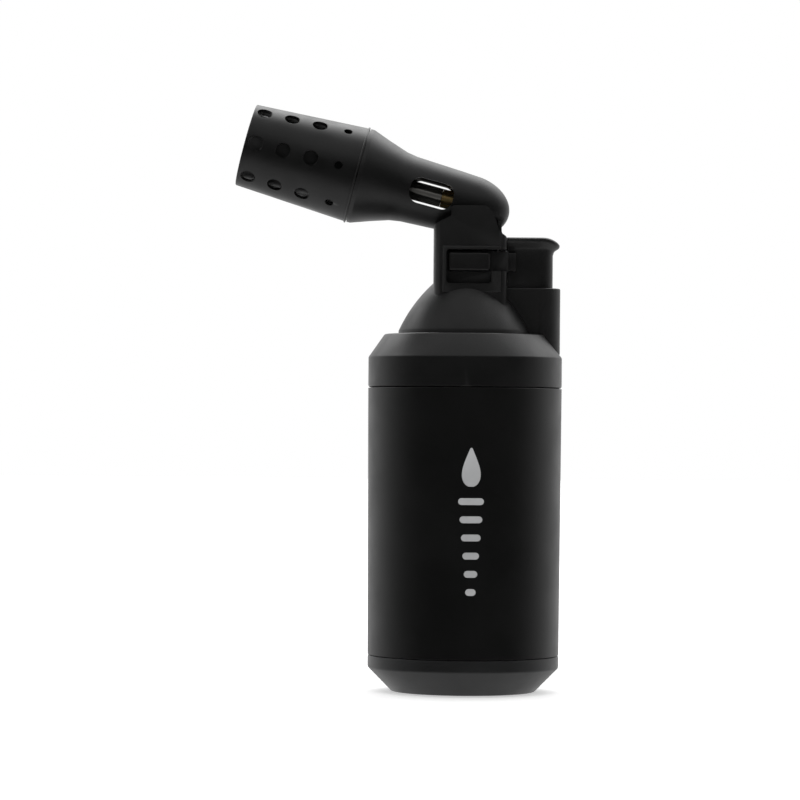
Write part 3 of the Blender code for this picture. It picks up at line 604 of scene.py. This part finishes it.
def printed(name, rows):
    """Thin print on the sleeve from rows of (height, left edge, right edge)."""
    steps = 8
    over, under = 0.02, -0.05
    taper = (SLEEVE_TOP_R - SLEEVE_FOOT_R) / (SLEEVE_TOP_Z - SLEEVE_FOOT_Z)
    wrap_r = 24.4
    work = bmesh.new()
    faces = []
    for lift in (over, under):
        grid = []
        for z, left, right in rows:
            radius = SLEEVE_FOOT_R + (z - SLEEVE_FOOT_Z) * taper + lift
            angles = [(left + (right - left) * i / steps) / wrap_r for i in range(steps + 1)]
            grid.append([work.verts.new((radius * math.sin(a), -radius * math.cos(a), z))
                         for a in angles])
        faces.append(grid)
    for grid in faces:
        for near, far in zip(grid, grid[1:]):
            for i in range(steps):
                work.faces.new((near[i], near[i + 1], far[i + 1], far[i]))
    outer, inner = faces
    rims = [(outer[0], inner[0]), (outer[-1], inner[-1]),
            ([row[0] for row in outer], [row[0] for row in inner]),
            ([row[-1] for row in outer], [row[-1] for row in inner])]
    for front, back in rims:
        for i in range(len(front) - 1):
            work.faces.new((front[i], front[i + 1], back[i + 1], back[i]))
    made = thing(mesh_of(work, name), BODY)
    made.name = name
    made.data.transform(Matrix.Scale(MM, 4))
    made.data.materials.append(MATERIALS["print_ink"])
    smooth(made.data, 40)
    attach(made, BODY_OF["outer_sleeve"])


def make_print():
    """Plain drop over a column of level bars, each bar shorter than the one above."""
    centre = 1.3
    drop_foot, drop_height, drop_half = 52.2, 9.8, 3.3
    bar_top, bar_pitch, bar_half, bar_step, thick = 48.6, 4.5, 3.2, 0.38, 0.85
    drop = []
    for i in range(33):
        t = 0.01 + 0.98 * i / 32
        half = drop_half * math.sqrt(math.sin(math.pi * t)) * (1 - 0.78 * t) + 0.05
        drop.append((drop_foot + drop_height * t, centre - half, centre + half))
    printed("print_drop", drop)
    for index in range(6):
        half = bar_half - bar_step * index
        level = bar_top - bar_pitch * index
        rows = []
        for i in range(13):
            lean = math.sin(math.pi * (i / 12 - 0.5))
            inset = thick * (1 - math.sqrt(max(1 - lean * lean, 0.0)))
            rows.append((level + thick * lean, centre - half + inset, centre + half - inset))
        printed("print_bar_%d" % (index + 1), rows)


# ------------------------------------------------------------------ head
CONE_AND_ARM = [(SEAM_R, -0.9), (10.55, -5.5), (8.95, -10.4), (8.5, -13.2), (7.95, -25.0)]


def arm_outline(growth, steps=18):
    """Arm and cone about the burner's axis, and the long round end that closes them."""
    end_r, end_start, end_length = 7.75, -28.6, 10.9
    turns = [math.radians(90 * i / steps) for i in range(2, steps)]
    cap = [((end_r + growth) * math.cos(a), end_start - (end_length + growth) * math.sin(a))
           for a in turns]
    side = [(0, growth), (SEAM_R + growth, growth)] + [(r + growth, z) for r, z in CONE_AND_ARM]
    return side, cap + [(0, end_start - end_length - growth)]


def dome(inset, foot_r, foot_z, top_z):
    """Dome under the neck: an arc whose centre is past the axis, then a straight foot."""
    centre = (-16.86, 76.28)
    edge_z = 91.4
    radius = 37.1 - inset
    start = math.degrees(math.asin((top_z - centre[1]) / radius))
    end = math.degrees(math.asin((edge_z - centre[1]) / radius))
    return [(0, top_z)] + arc(centre, radius, start, end, 30) + [(foot_r, foot_z), (0, foot_z)]


def head_cavity():
    """Hollow of the head: dome, lever room, column and piezo bed, less the bosses in it."""
    wall = 1.8
    room_half = 7.8
    cavity = thing(lathe(dome(wall, 15.2, 83.0, 104.0), 96))
    join(cavity,
         thing(prism([(-6.5, 95), (8.7, 95), (8.7, 103.1), (11.5, 103.1), (11.5, 111.8), (8.0, 111.8),
                      (8.0, 130), (-6.5, 130)], -room_half, room_half, side_view=True)),
         thing(prism(nosed(7.0, 22.55, 4.7, 4.1), 87.2, 104)),
         thing(block((12.2, -3.7, 83.5), (20.3, 3.7, 90))))
    bosses = []
    for spot, radius, start in ((LEVER_PIN, 1.5, 3.6), (HOUSING_SCREW, 1.6, 4.3)):
        for near, far in ((start, FAR), (-FAR, -start)):
            bosses.append(thing(crossbar(radius, near, far, spot)))
    bosses.append(thing(crossbar(2.9, -20, 20, SHELL_SCREW)))
    return cut(cavity, *bosses)


def head_outside():
    """Dome, neck, window frame and thumb column in one solid."""
    side_view = soften([
        (-8.2, 94), (10.2, 94), (10.2, 114.9), (9.9, 115.3), (8.6, 116.2), (7.9, 117.2), (7.5, 119.0),
        (6.4, 121.2), (5.2, 122.7), (4.6, 122.9), (-3.4, 122.9), (-3.9, 122.4), (-3.9, 120.4),
        (-8.2, 118.2)], 0.5, closed=True)
    neck = thing(prism(side_view, -20, 20, side_view=True))
    back_x, back_y, back_r = 8.6, 8.0, 1.6
    front_x, front_y, front_r = -5.2, 6.6, 3.0
    plan = (arc((back_x, back_y), back_r, 0, 90, 8) + arc((front_x, front_y), front_r, 90, 180, 12)
            + arc((front_x, -front_y), front_r, 180, 270, 12)
            + arc((back_x, -back_y), back_r, 270, 360, 8))
    combine(neck, [thing(prism(plan, 90, 130))], "INTERSECT")
    rounded(neck, 0.35, 3)
    frame_rim = rounded(thing(block((-6.0, -9.9, 101.0), (8.6, 9.9, 112.8))), 0.28, 3)
    head = thing(lathe([(0, 105.0), (7.4, 104.3)] + dome(0, 16.95, 87.1, 103.6)[1:-1]
                       + [(19.4, 87.1), (19.4, 84.6), (0, 84.6)], 160))
    column = rounded(thing(prism(nosed(8.0, 24.05, 6.2, 5.6), 85.5, 102.4)), 0.35, 3)
    saddle = thing(prism([(7.0, 111), (9.3, 111), (9.3, 115.6), (8.9, 116.5), (8.8, 119.4),
                          (7.0, 119.4)], -6.5, 6.5, side_view=True))
    return join(head, neck, frame_rim, column, saddle)


def make_head():
    head = head_outside()
    side, cap = arm_outline(GAP)
    window = rounded(thing(block((-5.1, -FAR, 103.3), (6.3, FAR, 111.9))), 0.9, 4)
    bridge_way = thing(block((5.3, -FAR, 106.4), (FAR, FAR, 111.85)))
    cut(head, head_cavity(), thing(lathe(side + cap, 96), BURNER), window, bridge_way,
        thing(crossbar(1.0, -7.5, 7.5, LEVER_PIN)),
        thing(crossbar(1.2, -8, 8, SHELL_SCREW)),
        thing(crossbar(1.2, -8.4, 9, HOUSING_SCREW)))
    for name, way in (("left", -1), ("right", 1)):
        half = copy_of(head)
        near, far = sorted((-way * GAP / 2, -way * 40))
        cut(half, thing(block((-40, near, 60), (40, far, 140))))
        if name == "right":
            cut(half, thing(crossbar(2.3, 7.5, 16, SHELL_SCREW)),
                thing(crossbar(2.0, 8.2, FAR, HOUSING_SCREW)))
        piece("head_" + name, half, "head_shell_" + name)
    bpy.data.objects.remove(head, do_unlink=True)


def make_screws():
    crest, root, pitch = 0.85, 0.62, 0.6
    cross_half, cross_depth = 0.24, 0.7
    for node, radius, base, top, tip in (("shell_screw", 2.0, 7.8, 9.2, -7.0),
                                         ("housing_screw", 1.7, 8.5, 9.4, -7.6)):
        spot = middle(node)
        turned = Matrix.Translation((spot.x, 0, spot.z)) @ Matrix.Rotation(-math.pi / 2, 4, "X")
        threads = []
        z = base - 1.0
        while z > tip + 1.5:
            threads += [(crest, z), (root, z - pitch / 2)]
            z -= pitch
        head = soften([(radius * 0.3, top), (radius * 0.75, top - 0.05), (radius, top - 0.55),
                       (radius, base)], 0.3)
        screw = thing(lathe([(0, top)] + head + [(crest, base)] + threads + [(0.3, tip), (0, tip)], 40))
        reach = radius * 0.6
        cross = [block((-cross_half, -reach, top - cross_depth), (cross_half, reach, top + 1)),
                 block((-reach, -cross_half, top - cross_depth), (reach, cross_half, top + 1))]
        piece(node.replace("_", "-"), cut(screw, *[thing(mesh) for mesh in cross]), node, turned)


# ------------------------------------------------------------------ burner
def make_arm():
    side, cap = arm_outline(0)
    arm = thing(lathe([side[0]] + soften(side[1:], 1.2, steps=5) + cap, 128), BURNER)
    lug = thing(block((-6.1, -4.0, 112.9), (-1.7, 4.0, 120)))
    hollow = thing(lathe([(0, 1), (11.2, 1), (11.2, -3.0), (10.4, -3.0), (9.0, -6.2), (7.3, -10.6),
                          (6.9, -13.5), (6.35, -25.0), (6.1, -29.0), (5.1, -33.5), (3.2, -36.4),
                          (0, -37.6)], 96), BURNER)
    sideways = Matrix(((0, 1, 0, 0), (0, 0, 1, 0), (1, 0, 0, 0), (0, 0, 0, 1)))
    slot_back, slot_front, slot_half = -24.7, -13.5, 3.3
    slot = rounded_rectangle((slot_back, -slot_half), (slot_front, slot_half), 2.6, 12)
    lead_way = thing(block((0.6, -5.0, 108), (7.6, 5.0, 119.2)))
    join(arm, lug)
    cut(arm, hollow, lead_way, thing(crossbar(1.2, -6, 6, HOUSING_SCREW)),
        thing(prism(slot, -FAR, FAR), BURNER @ sideways))
    piece("burner_arm", arm, "burner_housing")


def make_flame_tube():
    """Tapered guard: seven rows of three holes and a smaller one, and a rolled rim at the seam."""
    length, wall = 29.7, 0.9
    stub_r, stub_inner_r, stub_depth = 10.9, 10.2, 2.7
    hole_r, small_r, flare = 1.9, 1.05, 0.09
    outer = divided([(MOUTH_R + 0.02, length - 0.25), (SEAM_R, 0.75)], 1.2)
    inner = divided([(SEAM_R - wall, 2.4), (MOUTH_R - wall, length)], 1.2)
    lip = [(MOUTH_R - 0.15, length), (MOUTH_R - 0.03, length - 0.08)]
    rim = [(SEAM_R + 0.22, 0.7), (SEAM_R + 0.3, 0.62), (SEAM_R + 0.3, 0.32), (SEAM_R - 0.4, 0.3),
           (SEAM_R - 0.4, 0.04)]
    stub = [(stub_r, 0.04), (stub_r, -stub_depth), (stub_inner_r, -stub_depth), (stub_inner_r, 1.2)]
    tube = thing(lathe(lip + outer + rim + stub + inner, 168))
    drills = []
    for from_front, radius in ((2.8, hole_r), (9.9, hole_r), (17.1, hole_r), (24.4, small_r)):
        surface = MOUTH_R + (SEAM_R - MOUTH_R) * from_front / length
        for row in range(7):
            bearing = math.radians(2) + 2 * math.pi * row / 7
            outward = Vector((math.sin(bearing), -math.cos(bearing), 0))
            aim = outward.to_track_quat("Z", "X").to_matrix().to_4x4()
            drill = lathe([(0, 8.5), (radius, 8.5), (radius, surface - 0.06),
                           (radius + flare, surface + 0.03), (radius + flare, 14), (0, 14)], 28)
            drills.append(moved(drill, 0, 0, length - from_front, aim))
    piece("perforated_tube", cut(tube, thing(merged(drills))), "flame_tube", BURNER)


def make_burner_inside():
    cup = thing(lathe(soften([
        (8.3, 29.2), (8.3, 15.8), (9.6, 15.8), (9.6, 15.0), (8.3, 15.0), (8.3, 2.0), (9.9, 2.0),
        (9.9, 1.0), (8.3, 1.0), (7.6, -2.0), (3.9, -8.4), (3.9, -12.5), (2.7, -12.5), (2.7, -8.6),
        (6.9, -1.6), (7.6, 1.6), (7.6, 29.2)], 0.2, closed=True), 128))
    lead_hole = thing(moved(bar(1.5, -14, 4), ELECTRODE_SPOT, ELECTRODE_SPOT))
    piece("burner-cup", cut(cup, lead_hole), "burner_cup", BURNER)
    disc = soften([(2.2, 7.45), (2.5, 7.6), (3.6, 7.6), (3.9, 7.45), (6.5, 7.45), (6.7, 7.6),
                   (7.3, 7.6), (7.3, 6.2)], 0.1)
    holder = thing(lathe([(0, 7.45)] + disc + [(0, 6.2)], 96))
    ports = [bar(1.2, 5, 9)]
    port_circle = 5.23
    for index in range(8):
        bearing = math.radians(45 * index + 5)
        ports.append(moved(bar(0.9, 5, 9, segments=24), port_circle * math.cos(bearing),
                           port_circle * math.sin(bearing)))
    piece("flame-holder", cut(holder, thing(merged(ports))), "flame_holder", BURNER)
    mixer = lathe(soften([(1.8, -9.8), (2.4, -9.8), (2.4, -21.77), (1.8, -21.77)], 0.12,
                         closed=True), 64)
    piece("mixer_tube", mixer, "mixing_tube", BURNER)
    jet = lathe(soften([
        (0.35, -19.4), (0.7, -19.4), (1.3, -20.6), (1.3, -21.8), (2.4, -21.8), (2.4, -25.2),
        (2.9, -25.2), (2.9, -27.4), (0.85, -27.4), (0.85, -30.6), (0.35, -30.6)], 0.12,
        closed=True), 48)
    piece("jet", jet, "gas_jet", BURNER)
    insulator = lathe(soften([(0.62, 5.0), (1.15, 5.0), (1.15, -12.4), (0.62, -12.4)], 0.15,
                             closed=True), 32)
    piece("insulator", moved(insulator, ELECTRODE_SPOT, ELECTRODE_SPOT), "electrode_insulator", BURNER)
    tip = smooth_route([(3.7, 3.7, -12.0), (3.7, 3.7, -4.0), (3.7, 3.7, 4.0), (3.7, 3.7, 10.0),
                        (3.3, 3.3, 12.2), (2.0, 2.0, 13.4)], 8)
    piece("electrode", sweep(tip, 0.3), "electrode_wire", BURNER)


def in_arm(*points):
    """Points given along the burner's axis, in the upright frame."""
    return [BURNER @ Vector(p) for p in points]


def make_wire_and_hose():
    wire_r, hose_r = 0.6, 1.7
    route = [(12.4, 2.0, 92.0), (10.4, 3.0, 93.5), (9.2, 3.4, 97.0), (8.8, 3.6, 102.0),
             (8.4, 3.6, 108.0), (5.9, 3.5, 113.0), (4.8, 3.1, 117.0), (3.6, 2.9, 120.5)]
    route += in_arm((3.4, 4.0, -29.0), (3.7, 3.7, -24.0), (3.7, 3.7, -13.5))
    piece("spark_lead", sweep(smooth_route(route, 8), wire_r), "ignition_wire")
    bend = [(5.0, 0, 102.9), (5.0, 0, 107.0), (5.1, 0, 112.0), (5.5, 0, 117.0), (5.2, 0, 120.1)]
    bend += in_arm((0, 0, -30.6), (0, 0, -28.0))
    hose = piece("hose", sweep(smooth_route(bend, 8), hose_r, 24), "gas_hose", blended=True)
    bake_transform(hose)


# ------------------------------------------------------------------ trigger
def trigger_button():
    """Thumb button whose lip flares out and droops towards the back."""
    profile = soften([(0, 99.8), (0, 110.8), (0.3, 112.4), (1.1, 113.4), (1.6, 114.0), (1.75, 114.8),
                      (1.3, 115.1), (0.7, 115.2)], 1.2, steps=4)
    droop_from, most_droop = 19.5, 0.077
    work = bmesh.new()
    rings = []
    for growth, height in profile:
        droop = most_droop * min(1, growth / 0.3)
        plan = nosed(10.4, 22.1 + growth, 4.4 + growth, 3.9 + growth * 0.9)
        rings.append([work.verts.new((x, y, height - droop * max(0, x - droop_from) ** 2))
                      for x, y in plan])
    for near, far in zip(rings, rings[1:]):
        for i in range(len(near)):
            j = (i + 1) % len(near)
            work.faces.new((near[i], near[j], far[j], far[i]))
    work.faces.new(rings[0])
    work.faces.new(rings[-1])
    return thing(mesh_of(work, "button"))


def make_trigger():
    trigger = trigger_button()
    arm_top, pad_foot, pad_top = 111.5, 106.4, 111.3
    bridge = block((9.95, -6.6, 106.6), (12.6, 6.6, 111.2))
    parts = [rounded(thing(bridge), 0.3)]
    for way in (-1, 1):
        plate = prism([(-5.4, 103.4), (8.2, 103.4), (8.2, 106.3), (10.6, 106.3), (10.6, arm_top),
                       (-5.4, arm_top)], *sorted((way * 5.9, way * 7.5)), side_view=True)
        pad_near, pad_far = sorted((way * 6.1, way * 9.4))
        toe_near, toe_far = sorted((way * 6.4, way * 7.3))
        pad = block((-4.6, pad_near, pad_foot), (5.95, pad_far, pad_top))
        toe = block((-3.8, toe_near, 100.8), (-2.7, toe_far, 104.5))
        parts += [rounded(thing(plate), 0.12), rounded(thing(pad), 0.7, 4), thing(toe)]
    join(trigger, *parts)
    first_rib, rib_pitch, rib_r, rib_z = 12.4, 1.5, 0.42, 115.38
    ribs = [moved(bar(rib_r, -3.4, 3.4, "Y", 20), first_rib + rib_pitch * i, 0, rib_z)
            for i in range(5)]
    hollow = prism(nosed(11.9, 21.0, 3.5, 3.0), 98, 111)
    cut(trigger, thing(hollow), thing(merged(ribs)))
    piece("trigger_button", trigger, "ignition_trigger")


def make_piezo():
    body = rounded(thing(prism(rounded_rectangle((12.9, -3.0), (19.5, 3.0), 1.0), 84.6, 100.0)), 0.2)
    bore = thing(bar(2.4, 90.0, 104), PIEZO)
    piece("igniter", cut(body, bore), "piezo_body")
    rod = soften([(1.9, 110.7), (2.1, 110.5), (2.1, 94.0), (1.6, 93.5)], 0.2)
    piece("plunger", lathe([(0, 110.7)] + rod + [(0, 93.5)], 48), "piezo_plunger", PIEZO)


def make_springs():
    for name, node, matrix, radius, wire_r, turns, joint, held_high, travel in (
            ("return_spring", "trigger_spring", PIEZO, 2.8, 0.28, 5, "trigger_press", False, 3.0),
            ("stem_spring", "valve_spring", VALVE, 1.6, 0.2, 5, "trigger_press", True, 1.2),
            ("filler_spring", "refill_spring", REFILL, 1.6, 0.2, 3, "refill_stem_push", True, 1.5)):
        start, end = low(node).z, high(node).z
        centred = Matrix.Translation((matrix.translation.x, 0, 0))
        wound = coil(radius, start + wire_r, end - wire_r, turns)
        made = piece(name, sweep(wound, wire_r, 10), node, centred)
        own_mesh(made)


# ------------------------------------------------------------------ valves
def make_valves():
    knob = thing(lathe([(0, 12.0), (1.0, 12.0), (1.3, 11.4), (1.3, 3.3)]
                       + soften([(2.7, 3.3), (2.7, 0.8)], 0.2) + [(2.5, 0.8), (0, 0.8)], 48))
    driver_slot = block((-4, -0.4, -1), (4, 0.4, 1.7))
    piece("adjuster_knob", cut(knob, thing(driver_slot)), "flow_adjuster", VALVE)
    filler = soften([
        (1.0, 14.0), (3.1, 14.0), (3.1, 2.2), (4.2, 2.2), (4.2, 1.4), (2.4, 1.4), (2.2, 0.6), (1.1, 0.6),
        (1.1, 5.0), (2.3, 5.0), (2.3, 13.0), (1.0, 13.0)], 0.12, closed=True)
    piece("filler_body", lathe(filler, 64), "refill_valve_body", REFILL)
    pin = soften([(1.9, 7.0), (1.9, 5.5), (0.75, 5.5), (0.75, 0.9)], 0.1)
    piece("filler_pin", lathe([(0, 7.0)] + pin + [(0, 0.9)], 32), "refill_stem", REFILL)


def dress_cad():
    """The CAD nodes that stay, all inside, take the same finishes."""
    for name, node in NODES.items():
        node.material_slots[0].material = MATERIALS[SLOT_OF[name]]
        smooth(node.data)


# ------------------------------------------------------------------ studio
def mix_numbers(tree, factor, first, second):
    """Mix of two numbers; the second may be a plain value."""
    made = add(tree, "ShaderNodeMix", data_type="FLOAT")
    tree.links.new(factor, made.inputs[0])
    tree.links.new(first, made.inputs[2])
    if isinstance(second, float):
        made.inputs[3].default_value = second
    else:
        tree.links.new(second, made.inputs[3])
    return made.outputs[0]


def make_world():
    """White to the camera; to the object, dim in front and bright above and behind."""
    world = bpy.data.worlds.new("studio")
    bpy.context.scene.world = world
    world.use_nodes = True
    tree = world.node_tree
    backdrop = tree.nodes["Background"]
    parts = add(tree, "ShaderNodeSeparateXYZ")
    tree.links.new(add(tree, "ShaderNodeTexCoord").outputs["Generated"], parts.inputs["Vector"])
    front_to_back, bottom_to_top = parts.outputs["Y"], parts.outputs["Z"]
    walls = spread(tree, front_to_back, -0.50, 1.0, 0.05, 0.90)
    ceiling = spread(tree, front_to_back, -0.12, 0.38, 0.50, 2.30)
    up = spread(tree, bottom_to_top, 0.22, 0.75, 0.0, 1.0)
    down = spread(tree, bottom_to_top, -0.30, -0.80, 0.0, 1.0)
    table, seen_directly = 0.65, 1.0
    room = mix_numbers(tree, down, mix_numbers(tree, up, walls, ceiling), table)
    from_camera = add(tree, "ShaderNodeLightPath").outputs["Is Camera Ray"]
    tree.links.new(mix_numbers(tree, from_camera, room, seen_directly), backdrop.inputs["Strength"])
    backdrop.inputs["Color"].default_value = (1, 1, 1, 1)


def make_floor():
    """Pale paper, lit a little from within so that it stays white around the shadow."""
    half, z = 4, cad_bounds[0].z
    mesh = bpy.data.meshes.new("floor")
    mesh.from_pydata([(-half, -half, z), (half, -half, z), (half, half, z), (-half, half, z)], [],
                     [(0, 1, 2, 3)])
    floor = bpy.data.objects.new("floor", mesh)
    bpy.context.scene.collection.objects.link(floor)
    material = MATERIALS["floor_paper"]
    shader = material.node_tree.nodes["Principled BSDF"]
    shader.inputs["Emission Color"].default_value = (1, 1, 1, 1)
    shader.inputs["Emission Strength"].default_value = 0.45
    mesh.materials.append(material)
    floor.visible_glossy = False


def make_lights():
    """One soft box above and behind the torch."""
    centre = (cad_bounds[0] + cad_bounds[1]) / 2
    lamp = bpy.data.lights.new("overhead", "AREA")
    lamp.shape = "RECTANGLE"
    lamp.size, lamp.size_y = 1.3, 0.6
    lamp.energy = 1.6
    made = bpy.data.objects.new("overhead", lamp)
    made.location = centre + Vector((0.0, 0.50, 0.85))
    made.rotation_euler = (centre - made.location).to_track_quat("-Z", "Y").to_euler()
    bpy.context.scene.collection.objects.link(made)


def make_camera():
    """Side view with a long lens, tilted up and rolled by about half a degree."""
    centre = (cad_bounds[0] + cad_bounds[1]) / 2
    offset = Vector((0.00058, -0.916, -0.00831))
    pitch, roll = math.radians(90.49), math.radians(0.45)
    lens = bpy.data.cameras.new("camera")
    lens.sensor_width = 36.0
    lens.lens = 162.0
    camera = bpy.data.objects.new("camera", lens)
    camera.location = centre + offset
    camera.rotation_euler = (Matrix.Rotation(pitch, 4, "X") @ Matrix.Rotation(roll, 4, "Z")).to_euler()
    bpy.context.scene.collection.objects.link(camera)
    bpy.context.scene.camera = camera


make_camera()
make_world()
make_floor()
make_lights()
bpy.context.scene.view_settings.view_transform = "Standard"
dress_cad()
make_body()
make_print()
make_head()
make_screws()
make_arm()
make_flame_tube()
make_burner_inside()
make_wire_and_hose()
make_trigger()
make_piezo()
make_springs()
make_valves()

bpy.context.view_layer.update()
